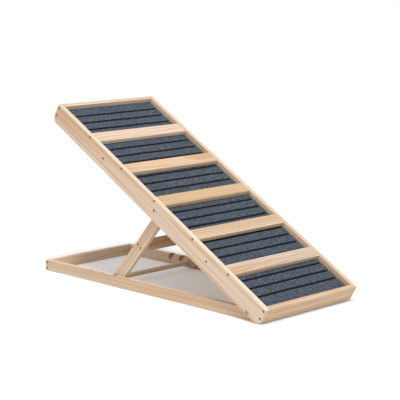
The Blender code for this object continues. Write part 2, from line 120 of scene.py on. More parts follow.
class Graph:
    """Adds nodes to a tree, each fed by sockets or plain values."""

    def __init__(self, tree: NodeTree) -> None:
        """Keep the tree that the nodes go into."""
        self.tree = tree

    def feed(self, socket: Socket, value: Value) -> None:
        """Link a socket to another one, or set its plain value.

        Args:
            socket: the input.
            value: an output socket, a number or a list of numbers.
        """
        if isinstance(value, Socket):
            self.tree.links.new(value, socket)
        elif isinstance(value, (tuple, list)) and len(value) < len(socket.default_value):
            socket.default_value = (*value, 1.0)
        else:
            socket.default_value = value

    def add(self, kind: str, inputs: dict[Any, Value] | None = None, **settings: Any) -> Node:
        """Add a node.

        Args:
            kind: the node's Blender type.
            inputs: values by input name or index.
            settings: the node's own properties.

        Returns:
            The node.
        """
        node = self.tree.nodes.new(kind)
        for name, value in settings.items():
            setattr(node, name, value)
        for key, value in (inputs or {}).items():
            self.feed(node.inputs[key], value)
        return node

    def dress(self, inputs: dict[str, Value]) -> None:
        """Feed the Principled shader's inputs by name."""
        for name, value in inputs.items():
            self.feed(self.tree.nodes["Principled BSDF"].inputs[name], value)

    def math(self, operation: str, *values: Value, clamp: bool = False) -> Socket:
        """Add a Math node and return its result."""
        node = self.add("ShaderNodeMath", dict(enumerate(values)), operation=operation, use_clamp=clamp)
        return node.outputs[0]

    def plus(self, *values: Value) -> Socket:
        """Add values up."""
        return reduce(lambda one, other: self.math("ADD", one, other), values)

    def times(self, *values: Value) -> Socket:
        """Multiply values."""
        return reduce(lambda one, other: self.math("MULTIPLY", one, other), values)

    def minus(self, value: Value, less: Value) -> Socket:
        """Take one value from another."""
        return self.math("SUBTRACT", value, less)

    def over(self, value: Value, by: Value, clamp: bool = False) -> Socket:
        """Divide one value by another."""
        return self.math("DIVIDE", value, by, clamp=clamp)

    def unsigned(self, value: Value) -> Socket:
        """Return a value without its sign."""
        return self.math("ABSOLUTE", value)

    def vector(self, operation: str, *values: Value) -> Node:
        """Add a Vector Math node and return it, because its result may be a vector or a number."""
        return self.add("ShaderNodeVectorMath", dict(enumerate(values)), operation=operation)

    def parts(self, vector: Value) -> Sequence[Socket]:
        """Return a vector's X, Y and Z."""
        return self.add("ShaderNodeSeparateXYZ", {0: vector}).outputs

    def joined(self, *parts: Value) -> Socket:
        """Return the vector that has these parts."""
        return self.add("ShaderNodeCombineXYZ", dict(enumerate(parts))).outputs[0]

    def surface(self, kind: str = "Object") -> Socket:
        """Return the surface's Object coordinates, or its Normal."""
        return self.add("ShaderNodeTexCoord").outputs[kind]

    def seen(self) -> Socket:
        """Return 1 where a camera, a reflection or glass looks, and 0 for plain light."""
        rays = self.add("ShaderNodeLightPath").outputs
        return reduce(lambda one, other: self.math("MAXIMUM", one, other),
                      [rays[f"Is {kind} Ray"] for kind in ("Camera", "Glossy", "Transmission")])

    def noise(self, place: Value, scale: float, detail: float, rough: float, bent: float = 0.0) -> Socket:
        """Return a noise texture's value, about 0.5 on average, with so many finer layers, this strong."""
        inputs = {"Vector": place, "Scale": scale, "Detail": detail, "Roughness": rough, "Distortion": bent}
        return self.add("ShaderNodeTexNoise", inputs).outputs[0]

    def streaks(self, place: Socket, count: Span, detail: float = 2.0, rough: float = 0.5,
                bent: float = 0.0) -> Socket:
        """Return noise drawn out along X, with so many streaks to the metre along and across."""
        drawn = self.vector("MULTIPLY", place, (count[0], count[1], count[1])).outputs[0]
        return self.noise(drawn, 1.0, detail, rough, bent)

    def remap(self, value: Value, span: Span, to_span: Span, smooth: bool = False) -> Socket:
        """Map a value from one span to another and no further.

        Args:
            value: the value.
            span: where it runs.
            to_span: where the result runs.
            smooth: whether it eases in and out.

        Returns:
            The result.
        """
        inputs = zip(("Value", "From Min", "From Max", "To Min", "To Max"), (value, *span, *to_span))
        return self.add("ShaderNodeMapRange", dict(inputs),
                        interpolation_type="SMOOTHSTEP" if smooth else "LINEAR").outputs[0]

    def mix(self, share: Value, first: Value, second: Value, blend: str = "MIX") -> Socket:
        """Mix two colours.

        Args:
            share: how much of the second.
            first: the colour below.
            second: the colour above.
            blend: the way they blend.

        Returns:
            The mixed colour.
        """
        node = self.add("ShaderNodeMix", data_type="RGBA", blend_type=blend)
        given = {"Factor_Float": share, "A_Color": first, "B_Color": second}
        for socket in node.inputs:
            if socket.identifier in given:
                self.feed(socket, given[socket.identifier])
        return next(socket for socket in node.outputs if socket.identifier == "Result_Color")

    def bump(self, height: Value, strength: float, distance: float) -> Socket:
        """Return the normal of a fine relief."""
        inputs = {"Height": height, "Strength": strength, "Distance": distance}
        return self.add("ShaderNodeBump", inputs).outputs[0]

    def deliver(self, geometry: Socket, finish: Value) -> NodeTree:
        """End a geometry tree.

        Args:
            geometry: what it made.
            finish: the material to set.

        Returns:
            The tree.
        """
        real = self.add("GeometryNodeRealizeInstances", {"Geometry": geometry})
        dressed = self.add("GeometryNodeSetMaterial", {"Geometry": real.outputs[0], "Material": finish})
        self.add("NodeGroupOutput", {0: dressed.outputs[0]})
        return self.tree


def new_material(name: str) -> tuple[Material, Graph]:
    """Make a material.

    Args:
        name: its name.

    Returns:
        The material and a Graph on its tree.
    """
    made = bpy.data.materials.new(name)
    made.use_nodes = True
    return made, Graph(made.node_tree)


def new_tree(name: str, inputs: dict[str, str]) -> Graph:
    """Start a Geometry Nodes tree.

    Args:
        name: its name.
        inputs: each input's kind of socket, by the input's name.

    Returns:
        A Graph on the tree.
    """
    tree = bpy.data.node_groups.new(name, "GeometryNodeTree")
    for key, kind in inputs.items():
        tree.interface.new_socket(key, in_out="INPUT", socket_type=f"NodeSocket{kind}")
    tree.interface.new_socket("Made", in_out="OUTPUT", socket_type="NodeSocketGeometry")
    return Graph(tree)


# Finishes

@dataclass(frozen=True)
class Stain:
    """A colour that shows where a tone lies in a span, up to a share."""

    colour: Colour
    span: Span
    share: float = 1.0
    smooth: bool = False

    def over(self, graph: Graph, tone: Socket, base: Value) -> Socket:
        """Lay the colour over a base, as the tone says."""
        return graph.mix(graph.remap(tone, self.span, (0.0, self.share), self.smooth), base, self.colour)


def unevenness(graph: Graph, tone: Socket, span: Span, roughness: float) -> Socket:
    """Return a roughness that lies a little under or over a usual one, as a tone runs through a span."""
    return graph.remap(tone, span, (roughness + UNEVEN[0], roughness + UNEVEN[1]))


@dataclass(frozen=True)
class PaintedNotchShade:
    """Brown painted shade in a rail's notches and round their mouths: in a box of the frame, strongest at its
    top.
    """

    along: Span
    out: Span
    up: Span
    tint: Colour = (0.400, 0.150, 0.045)
    least: float = 0.05
    most: float = 0.90
    edge: float = 0.5 * MM

    def over(self, graph: Graph, wood: Socket) -> Socket:
        """Lay the painted shade over the wood.

        Args:
            graph: the material's nodes.
            wood: the wood's colour.

        Returns:
            The colour with the painted shade on it.
        """
        x, y, z = graph.parts(graph.surface())
        share = graph.remap(z, self.up, (self.least, self.most))
        for place, limits in ((x, self.along), (graph.unsigned(y), self.out), (z, self.up)):
            for limit, inward in zip(limits, (self.edge, -self.edge)):
                share = graph.times(share, graph.remap(place, (limit, limit + inward), (0.0, 1.0)))
        return graph.mix(share, wood, self.tint)


@dataclass(frozen=True)
class VeinAndPaintedHighlight:
    """A run of warmer wood along a board, or a paler band under its edge that is a painted highlight: its
    height above the middle and half its width.
    """

    height: float
    half_width: float
    colour: Colour = (0.770, 0.500, 0.270)
    sway: float = 2.0
    least: float = 0.35
    core: float = 0.2
    bends: Span = (2.2, 12.0)
    gaps: Span = (5.0, 25.0)
    broken: Span = (0.36, 0.56)

    def over(self, graph: Graph, place: Socket, middle: float, wood: Socket) -> Socket:
        """Lay the run of warmer wood or painted highlight over the wood.

        Args:
            graph: the material's nodes.
            place: the surface's place in the tree.
            middle: how high in the tree the board's middle lies.
            wood: the wood's colour.

        Returns:
            The colour with the vein in it.
        """
        bend = graph.times(graph.minus(graph.streaks(place, self.bends), 0.5), self.sway * self.half_width)
        line = graph.plus(bend, middle + self.height)
        away = graph.unsigned(graph.minus(graph.parts(place)[2], line))
        share = graph.remap(away, (self.core * self.half_width, self.half_width), (1.0, 0.0), smooth=True)
        whole = graph.remap(graph.streaks(place, self.gaps), self.broken, (self.least, 1.0))
        return graph.mix(graph.times(share, whole), wood, self.colour)


@dataclass(frozen=True)
class Tone:
    """How warm and light a board's wood is, how much paler it gets down the deck, and its runs of warmer wood
    and painted highlights; the slats' lightness falling down the deck is painted shade, and the far base
    rail's is painted light.
    """

    warmth: float = 0.40
    light: float = 0.97
    fade: float = 0.0
    veins_and_highlights: tuple[VeinAndPaintedHighlight, ...] = ()


GRAINS = {"deck_side_rail": Grain.SLOPE, "deck_ledger": Grain.SLOPE, "base_side_rail": Grain.BASE,
          "prop_leg": Grain.LEG}
# The slats' light, falling down the deck, is painted shade; the far base rail's light above 1 is painted
# light.
BOARD_TONES = {
    "deck_slat_1": Tone(-0.35, 1.02), "deck_slat_2": Tone(0.78, 0.93), "deck_slat_3": Tone(1.00, 0.88),
    "deck_slat_4": Tone(0.75, 0.86), "deck_slat_5": Tone(-0.10, 0.85),
    "deck_end_rail_low": Tone(0.60, 0.915), "deck_end_rail_high": Tone(0.00, 1.00),
    "deck_side_rail_near": Tone(-0.10, 1.03, 0.45, (
        # The pale straight band under the near rail's top edge is a painted highlight.
        VeinAndPaintedHighlight(15.0 * MM, 7.0 * MM), VeinAndPaintedHighlight(25.8 * MM, 2.6 * MM, (0.930, 0.850, 0.690), sway=0.0, least=0.8))),
    "deck_side_rail_far": Tone(0.25, 1.00),
    "base_side_rail_near": Tone(0.34, 0.93), "base_side_rail_far": Tone(0.40, 1.10),
    "prop_cross_bar": Tone(1.00, 0.84, veins_and_highlights=(VeinAndPaintedHighlight(0.0, 4.0 * MM),)), "prop_leg_near": Tone(0.25, 0.97),
}


@dataclass(frozen=True)
class Board:
    """How one board was sawn from its tree, its tone, and where shade is painted in its notches."""

    centre: Vector
    turn: Euler
    pith: Span
    tone: Tone
    seed: int
    painted_notch_shades: tuple[PaintedNotchShade, ...] = ()


@dataclass(frozen=True)
class PineFinish:
    """Bare sanded pine: pale early wood, thin orange late wood, long streaks and fine fibres.

    The streaks are the fibres, then fine, strong and broad ones, so many to the metre along and across.
    """

    pale: Colour = (0.865, 0.755, 0.635)
    warm: Colour = (0.830, 0.600, 0.385)
    amber: Colour = (0.720, 0.430, 0.210)
    late: Colour = (0.560, 0.290, 0.130)
    heart: Stain = Stain(amber, (0.52, 0.74), 0.78, smooth=True)
    strong: Stain = Stain(amber, (0.53, 0.68), 0.60, smooth=True)
    fine: Stain = Stain(late, (0.42, 0.72), 0.32)
    fibre: Stain = Stain(late, (0.30, 0.75), 0.14)
    end_grain: Stain = Stain((0.560, 0.360, 0.210), (0.75, 0.95), 0.45)
    streaks: tuple[Span, ...] = ((24.0, 1300.0), (5.0, 300.0), (1.8, 125.0), (1.4, 48.0))
    warmth_swing: float = 0.50
    late_shares: Span = (0.28, 0.80)
    fade_run: Span = (-0.40, 0.10)
    fade_dark: float = 0.20
    tree_ends: Span = (-3.0, 3.0)
    ring_width: float = 3.2 * MM
    drifts: Span = (1.3, 11.0)
    ring_drift: float = 18.0 * MM
    ripples: Span = (7.0, 90.0)
    ring_ripple: float = 1.6 * MM
    late_rise: Span = (0.25, 0.86)
    late_fall: Span = (0.88, 1.0)
    years_out: float = 95.0
    years_along: float = 0.8
    roughness: float = 0.52
    gloss: float = 0.35
    fibre_height: float = 0.6
    ring_height: float = -0.4
    relief: Span = (0.35, 0.12 * MM)

    def material(self, name: str, board: Board) -> Material:
        """Make the pine of one board.

        Args:
            name: the material's name.
            board: how the board was sawn.

        Returns:
            The material.
        """
        made, graph = new_material(name)
        place = self._tree_place(graph, board)
        rings, years = self._rings(graph, place)
        fibres, fine, strong, broad = [graph.streaks(place, count, rough=0.6) for count in self.streaks]
        fade = board.tone.fade
        down = graph.remap(graph.parts(graph.surface())[0], self.fade_run, (fade, -fade))
        warmth = graph.remap(broad, USUAL_NOISE, (-self.warmth_swing, self.warmth_swing))
        warmth = graph.math("ADD", graph.plus(warmth, board.tone.warmth), down, clamp=True)

        wood = self.heart.over(graph, years, graph.mix(warmth, self.pale, self.warm))
        wood = self.strong.over(graph, strong, wood)
        # Runs of warmer wood, and on the near side rail a painted highlight under its top edge.
        for band in board.tone.veins_and_highlights:
            wood = band.over(graph, place, board.pith[1], wood)
        late_share = graph.times(rings, graph.remap(years, USUAL_NOISE, self.late_shares))
        wood = self.fine.over(graph, fine, graph.mix(late_share, wood, self.late))
        wood = self.fibre.over(graph, fibres, wood)
        wood = self.end_grain.over(graph, self._end_facing(graph, board), wood)
        # Painted shade down in the notches and round their mouths.
        for painted_shade in board.painted_notch_shades:
            wood = painted_shade.over(graph, wood)
        # The board's light: on the lower slats painted shade, on the far base rail painted light.
        wood = graph.mix(1.0, wood, (board.tone.light,) * 3, "MULTIPLY")
        wood = graph.mix(graph.math("MULTIPLY", down, self.fade_dark, clamp=True), wood, BLACK)
        height = graph.plus(graph.times(fibres, self.fibre_height), graph.times(rings, self.ring_height))
        graph.dress({"Base Color": wood, "Roughness": unevenness(graph, fibres, (0.2, 0.8), self.roughness),
                     "Specular IOR Level": self.gloss, "Normal": graph.bump(height, *self.relief)})
        return made

    def _tree_place(self, graph: Graph, board: Board) -> Socket:
        """Find the surface's place in the tree.

        Args:
            graph: the material's nodes.
            board: how the board was sawn.

        Returns:
            The place: X along the grain, the pith at Y and Z of zero.
        """
        offset = Vector((random.Random(board.seed).uniform(*self.tree_ends), *board.pith))
        shift = offset - board.turn.to_matrix() @ board.centre
        return graph.add("ShaderNodeMapping", {"Vector": graph.surface(), "Location": tuple(shift),
                                               "Rotation": tuple(board.turn)}).outputs[0]

    def _rings(self, graph: Graph, place: Socket) -> tuple[Socket, Socket]:
        """Draw the year rings.

        Args:
            graph: the material's nodes.
            place: the surface's place in the tree.

        Returns:
            How much late wood shows, from 0 to 1, and how dark each run of years grew, about 0.5.
        """
        drift = graph.streaks(place, self.drifts, 3.0, 0.55)
        ripple = graph.streaks(place, self.ripples)
        across = graph.vector("MULTIPLY", place, (0.0, 1.0, 1.0)).outputs[0]
        radius = graph.plus(graph.vector("LENGTH", across).outputs["Value"],
                            graph.times(drift, self.ring_drift), graph.times(ripple, self.ring_ripple))
        phase = graph.math("FRACT", graph.over(radius, self.ring_width))
        rise = graph.remap(phase, self.late_rise, (0.0, 1.0), smooth=True)
        fall = graph.remap(phase, self.late_fall, (1.0, 0.0), smooth=True)
        along = graph.times(graph.parts(place)[0], self.years_along)
        run = graph.joined(graph.times(radius, self.years_out), along)
        return graph.times(rise, fall), graph.noise(run, 1.0, 2.0, 0.6)

    @staticmethod
    def _end_facing(graph: Graph, board: Board) -> Socket:
        """Find how squarely the surface faces along the grain.

        Args:
            graph: the material's nodes.
            board: how the board was sawn.

        Returns:
            The facing, from 0 to 1.
        """
        grain_way = board.turn.to_matrix().transposed() @ Vector((1.0, 0.0, 0.0))
        facing = graph.vector("DOT_PRODUCT", graph.surface("Normal"), tuple(grain_way)).outputs["Value"]
        return graph.unsigned(facing)


@dataclass(frozen=True)
class PlywoodFinish:
    """The thin bare panel under the carpet: a rotary-cut face with broad soft figures."""

    pale: Colour = (0.690, 0.520, 0.350)
    brown: Colour = (0.520, 0.350, 0.200)
    figure: Stain = Stain(brown, (0.35, 0.65))
    pore: Stain = Stain(brown, (0.55, 0.80), 0.35)
    figures: Span = (3.0, 22.0)
    pores: Span = (60.0, 1400.0)
    roughness: float = 0.62
    relief: Span = (0.3, 0.1 * MM)

    def material(self, name: str, turn: Euler) -> Material:
        """Make the panel's material.

        Args:
            name: the material's name.
            turn: the turn that lays its figure along X.

        Returns:
            The material.
        """
        made, graph = new_material(name)
        mapping = graph.add("ShaderNodeMapping", {"Vector": graph.surface(), "Rotation": tuple(turn)})
        place = mapping.outputs[0]
        pores = graph.streaks(place, self.pores, 1.0)
        wood = self.figure.over(graph, graph.streaks(place, self.figures, 4.0, bent=1.2), self.pale)
        graph.dress({"Base Color": self.pore.over(graph, pores, wood), "Roughness": self.roughness,
                     "Normal": graph.bump(pores, *self.relief)})
        return made


@dataclass(frozen=True)
class CarpetFinish:
    """Needled felt in slate blue-grey, flecked light and dark, with painted shade nearly black down its
    grooves.

    Its tufts, flecks and hairs each have a scale, how many finer layers and how strong, and how distorted.
    """

    dark: Colour = (0.018, 0.024, 0.033)
    middle: Stain = Stain((0.058, 0.078, 0.105), (0.36, 0.52))
    pale: Colour = (0.152, 0.193, 0.247)
    light: Stain = Stain(pale, (0.50, 0.68))
    hair: Stain = Stain(pale, (0.60, 0.80), 0.35)
    # Painted shade, nearly black, down the grooves.
    groove: Stain = Stain((0.002, 0.0025, 0.004), (0.02, 0.30))
    tufts: tuple[float, ...] = (165.0, 2.0, 0.6, 0.6)
    flecks: tuple[float, ...] = (520.0, 3.0, 0.65, 0.4)
    hairs: tuple[float, ...] = (1700.0, 2.0, 0.7)
    tuft_share: float = 0.55
    hair_height: float = 0.5
    roughness: float = 0.95
    gloss: float = 0.15
    sheen: Span = (0.15, 0.5)
    relief: Span = (0.8, 0.6 * MM)

    def material(self, name: str) -> Material:
        """Make the felt, which reads how deep in a groove it lies from the carpet's own attribute and paints
        shade there.

        Args:
            name: the material's name.

        Returns:
            The material.
        """
        made, graph = new_material(name)
        place = graph.surface()
        tufts, flecks, hairs = [graph.noise(place, *each) for each in (self.tufts, self.flecks, self.hairs)]
        blend = graph.plus(graph.times(flecks, 1.0 - self.tuft_share), graph.times(tufts, self.tuft_share))
        felt = self.light.over(graph, blend, self.middle.over(graph, blend, self.dark))
        depth = graph.add("ShaderNodeAttribute", attribute_name="groove").outputs["Fac"]
        # Painted shade down the grooves.
        felt = self.groove.over(graph, depth, self.hair.over(graph, hairs, felt))
        height = graph.plus(flecks, graph.times(hairs, self.hair_height))
        graph.dress({"Base Color": felt, "Roughness": self.roughness, "Specular IOR Level": self.gloss,
                     "Sheen Weight": self.sheen[0], "Sheen Roughness": self.sheen[1],
                     "Normal": graph.bump(height, *self.relief)})
        return made


@dataclass(frozen=True)
class SteelFinish:
    """A fastener's plated steel, slightly uneven."""

    colour: Colour
    stain: Stain
    roughness: float
    metallic: float = 0.80
    cloud: tuple[float, ...] = (420.0, 3.0, 0.6)
    scratches: Span = (300.0, 4000.0)
    relief: Span = (0.15, 0.05 * MM)

    def material(self, name: str) -> Material:
        """Make the steel's material.

        Args:
            name: the material's name.

        Returns:
            The material.
        """
        made, graph = new_material(name)
        place = graph.surface()
        cloud = graph.noise(place, *self.cloud)
        scratches = graph.streaks(place, self.scratches, rough=0.6)
        graph.dress({"Base Color": self.stain.over(graph, cloud, self.colour), "Metallic": self.metallic,
                     "Roughness": unevenness(graph, cloud, USUAL_NOISE, self.roughness),
                     "Normal": graph.bump(scratches, *self.relief)})
        return made


CLOUDS: Span = (0.45, 0.75)
DARK_SCREW = SteelFinish((0.230, 0.155, 0.105), Stain((0.090, 0.062, 0.045), CLOUDS, 0.6), 0.45)
DULL_STEEL = SteelFinish((0.310, 0.250, 0.205), Stain((0.150, 0.120, 0.098), CLOUDS, 0.6), 0.42)
BRIGHT_ZINC = SteelFinish((0.320, 0.365, 0.430), Stain((0.230, 0.230, 0.225), CLOUDS, 0.6), 0.34, 1.0)


# Shapes

def placed(name: str, data: bpy.types.ID) -> Object:
    """Make a scene object.

    Args:
        name: its name.
        data: its mesh, lamp or camera.

    Returns:
        The object.
    """
    made = bpy.data.objects.new(name, data)
    bpy.context.scene.collection.objects.link(made)
    return made


def solid_from(builder: bmesh.types.BMesh, name: str) -> Object:
    """Turn a bmesh into a scene object whose faces point outwards.

    Args:
        builder: the bmesh, which is freed.
        name: the object's name.

    Returns:
        The object.
    """
    bmesh.ops.remove_doubles(builder, verts=builder.verts, dist=SAME_SPOT)
    bmesh.ops.recalc_face_normals(builder, faces=builder.faces)
    mesh = bpy.data.meshes.new(name)
    builder.to_mesh(mesh)
    builder.free()
    return placed(name, mesh)


def ring(radius: float, count: int) -> list[Span]:
    """Return points evenly spaced on a circle, from its X axis."""
    return [(radius * math.cos(math.tau * k / count), radius * math.sin(math.tau * k / count))
            for k in range(count)]


def turned(name: str, profile: Sequence[Span], sides: int) -> Object:
    """Turn a profile about Z.

    Args:
        name: the object's name.
        profile: its (radius, z) points, from the lowest; an end with no radius is closed.
        sides: how many faces go round.

    Returns:
        The solid.
    """
    builder = bmesh.new()
    rings = [[builder.verts.new((x, y, z)) for x, y in ring(radius, sides if radius else 1)]
             for radius, z in profile]
    for low, high in zip(rings, rings[1:]):
        for k in range(sides):
            after = (k + 1) % sides
            corners = [low[k % len(low)], low[after % len(low)],
                       high[after % len(high)], high[k % len(high)]]
            builder.faces.new([corner for at, corner in enumerate(corners) if corner not in corners[:at]])
    return solid_from(builder, name)


def prism(name: str, outline: Sequence[Span], low: float, high: float, taper: float = 1.0) -> Object:
    """Run an outline upwards.

    Args:
        name: the object's name.
        outline: its (x, y) points.
        low: the height of its low end.
        high: the height of its high end.
        taper: how far its low end shrinks, 1 for not at all.

    Returns:
        The solid.
    """
    builder = bmesh.new()
    top = [builder.verts.new((x, y, high)) for x, y in outline]
    bottom = [builder.verts.new((x * taper, y * taper, low)) for x, y in outline]
    builder.faces.new(top)
    builder.faces.new(bottom[::-1])
    for k in range(len(outline)):
        after = (k + 1) % len(outline)
        builder.faces.new([bottom[k], bottom[after], top[after], top[k]])
    return solid_from(builder, name)


def recess_outline(kind: Recess, size: float) -> list[Span]:
    """Draw the outline of a driver's recess.

    Args:
        kind: what turns it.
        size: how far it reaches across.

    Returns:
        Its (x, y) points.
    """
    if kind is Recess.HEXAGON:
        return ring(size / math.sqrt(3), 6)
    arm, slot = size / 2, size / 8
    corner = [(arm, -slot), (arm, slot), (slot, slot)]
    spins = [math.tau * quarter / 4 for quarter in range(4)]
    return [(x * math.cos(spin) - y * math.sin(spin), x * math.sin(spin) + y * math.cos(spin))
            for spin in spins for x, y in corner]


def cut_with(target: Object, cutter: Object, operation: str = "DIFFERENCE") -> None:
    """Cut one solid with another.

    Args:
        target: the solid to cut.
        cutter: the other, which is thrown away.
        operation: DIFFERENCE, or INTERSECT to keep what lies inside the cutter.
    """
    cut = target.modifiers.new("cut", "BOOLEAN")
    cut.operation = operation
    cut.solver = "EXACT"
    cut.object = cutter
    settle(target)
    bpy.data.objects.remove(cutter)


def settle(thing: Object) -> None:
    """Turn what an object's modifiers make into its own plain mesh.

    Args:
        thing: the object, which loses its modifiers.
    """
    bpy.context.view_layer.update()
    shown = thing.evaluated_get(bpy.context.evaluated_depsgraph_get())
    made = bpy.data.meshes.new_from_object(shown)
    thing.modifiers.clear()
    thing.data = made


def grow(piece: Object, tree: NodeTree, values: dict[str, Any]) -> None:
    """Run a Geometry Nodes tree on a piece and keep the plain mesh that it makes.

    Args:
        piece: the piece.
        tree: the tree.
        values: its inputs by name, each set by its socket's identifier.
    """
    growing = piece.modifiers.new(tree.name, "NODES")
    growing.node_group = tree
    for item in tree.interface.items_tree:
        if item.item_type == "SOCKET" and item.in_out == "INPUT" and item.name in values:
            growing[item.identifier] = values[item.name]
    settle(piece)


def smooth_edges(thing: Object, sharp_from: float) -> None:
    """Shade a piece smooth, with creases where its faces meet at more than an angle in degrees."""
    thing.data.shade_smooth()
    thing.data.set_sharp_from_angle(angle=math.radians(sharp_from))


def give(piece: Object, finish: Material, body: str, nodes: Sequence[str]) -> None:
    """Dress a piece, put it on its body and hide the solids that it stands for.

    Args:
        piece: the piece.
        finish: its material.
        body: the body that it rides on.
        nodes: the solids that it replaces.
    """
    piece.data.materials.clear()
    piece.data.materials.append(finish)
    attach(piece, body)
    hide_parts(*nodes)
    LOG.info("%s: %d faces, on %s", piece.name, len(piece.data.polygons), body)


# Places

def middle_of(node: str) -> Vector:
    """Return the middle of a solid's box."""
    low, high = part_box(node)
    return (low + high) / 2


def side_of(node: str) -> Side:
    """Return which side of the ramp a solid is on."""
    return Side.NEAR if middle_of(node).y < 0 else Side.FAR


def outer_end(node: str) -> Vector:
    """Return the middle of a solid's outer end, where it lies along Y."""
    middle, (low, high) = middle_of(node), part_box(node)
    return Vector((middle.x, high.y if side_of(node) is Side.FAR else low.y, middle.z))


def round_size(node: str) -> Span:
    """Return the radius and the length of a round solid that lies along Y."""
    low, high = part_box(node)
    return (high.z - low.z) / 2, high.y - low.y


@dataclass(frozen=True)
class Places:
    """The ramp's frames, read from its joints and solids."""

    fold_axis: Vector
    incline: float
    prop_axis: Vector
    foot_bar: Vector

    @classmethod
    def from_frame(cls) -> "Places":
        """Read the two axes, the incline and the foot bar.

        Returns:
            The places.
        """
        joints = {joint["name"]: joint for joint in frame["joints"]}
        return cls(
            fold_axis=Vector(joints["deck_fold"]["pos_m"]),
            incline=math.radians(-joints["deck_fold"]["range_deg"][0]),
            prop_axis=Vector(joints["prop_fold"]["pos_m"]),
            foot_bar=middle_of("prop_foot_bar"),
        )

    @property
    def deck_frame(self) -> Matrix:
        """The deck's own frame: X down the slope, Z out of the walking surface, from the fold axis."""
        return Matrix.Translation(self.fold_axis) @ Matrix.Rotation(self.incline, 4, "Y")

    def grain_turn(self, grain: Grain) -> Euler:
        """Return the turn that lays a grain direction along X."""
        leg = self.prop_axis - self.foot_bar
        return Euler({
            Grain.SLOPE: (0.0, -self.incline, 0.0), Grain.ACROSS: (0.0, 0.0, -math.pi / 2),
            Grain.BASE: (0.0, 0.0, 0.0), Grain.LEG: (0.0, math.atan2(leg.z, leg.x), 0.0)}[grain])


# Sub-assemblies

@dataclass
class Boards:
    """Every wooden board: the solid's own shape with its edges sanded soft."""

    places: Places
    finish: PineFinish = field(default_factory=PineFinish)
    first_seed: int = 11
    soften_below: float = 52.0
    flat_within: float = 0.5
    pith_reach: Span = (50.0 * MM, 95.0 * MM)
    pith_lean: Span = (20.0, 62.0)
    # Where the notches lie, and the painted shade in them and round their mouths.
    notch_depth: float = 7.6 * MM
    notch_lip: float = 0.3 * MM
    notch_run: Span = (-112.0 * MM, 32.0 * MM)
    notch_count: int = 3
    notch_pitch: float = 48.7 * MM
    mouth_shift: float = 9.4 * MM
    mouth_rim: Spot = (7.0 * MM, 12.0 * MM, 3.0 * MM)
    mouth_shade_colour: Colour = (0.180, 0.070, 0.025)
    mouth_shade_share: float = 0.9

    @staticmethod
    def is_board(node: str) -> bool:
        """Say whether a solid is a sawn board."""
        words = ("rail", "slat", "ledger", "leg", "cross_bar")
        return "screw" not in node and any(word in node for word in words)

    @staticmethod
    def grain_of(node: str) -> Grain:
        """Return which way a board's grain runs."""
        return next((grain for start, grain in GRAINS.items() if node.startswith(start)), Grain.ACROSS)

    def build(self) -> None:
        """Make every board from its solid."""
        nodes = sorted(filter(self.is_board, frame["nodes"]))
        for seed, node in enumerate(nodes, start=self.first_seed):
            finish = self.finish.material(f"pine_{node}", self.sawn(node, seed))
            give(self.softened(node), finish, body_of(frame["nodes"][node])[0], [node])

    def sawn(self, node: str, seed: int) -> Board:
        """Choose how a board was sawn, its broad face across the tree's middle.

        Args:
            node: the board's solid.
            seed: what its chances start from.

        Returns:
            The board.
        """
        chance = random.Random(seed)
        grain = self.grain_of(node)
        reach = chance.uniform(*self.pith_reach)
        lean = math.radians(chance.uniform(*self.pith_lean))
        out, along = reach * math.cos(lean), reach * math.sin(lean)
        pith = (along, -out) if grain is Grain.ACROSS else (out, along)
        painted_notch_shades = self.find_painted_notch_shades(node) if grain is Grain.BASE else ()
        tone = BOARD_TONES.get(node, Tone())
        return Board(middle_of(node), self.places.grain_turn(grain), pith, tone, seed, painted_notch_shades)

    def find_painted_notch_shades(self, node: str) -> tuple[PaintedNotchShade, ...]:
        """Find where shade is painted on a base rail: down in its notches, and on its top round their mouths.

        Args:
            node: the rail's solid.

        Returns:
            The painted shades.
        """
        (low, high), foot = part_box(node), self.places.foot_bar
        face, lip = min(abs(low.y), abs(high.y)), self.notch_lip
        start, end = self.notch_run
        inside = PaintedNotchShade((foot.x + start, foot.x + end), (face + lip, face + self.notch_depth),
                        (foot.z / 2, high.z - lip))
        reach, depth, drop = self.mouth_rim
        mouths = [foot.x + self.mouth_shift - k * self.notch_pitch for k in range(self.notch_count)]
        return (inside, *(PaintedNotchShade((x - reach, x + reach), (face + lip, face + depth),
                                 (high.z - drop, high.z + drop), self.mouth_shade_colour, self.mouth_shade_share)
                          for x in mouths))

    def softened(self, node: str) -> Object:
        """Copy a board's solid, joined up and shaded as sanded edges.

        Args:
            node: the solid.

        Returns:
            The copy.
        """
        builder = bmesh.new()
        builder.from_mesh(frame["nodes"][node].data)
        bmesh.ops.remove_doubles(builder, verts=builder.verts, dist=10 * SAME_SPOT)
        bmesh.ops.dissolve_limit(builder, angle_limit=math.radians(self.flat_within), verts=builder.verts,
                                 edges=builder.edges)
        piece = solid_from(builder, f"{node}_board")
        smooth_edges(piece, self.soften_below)
        piece.modifiers.new("sanded edges", "WEIGHTED_NORMAL").keep_sharp = True
        return piece


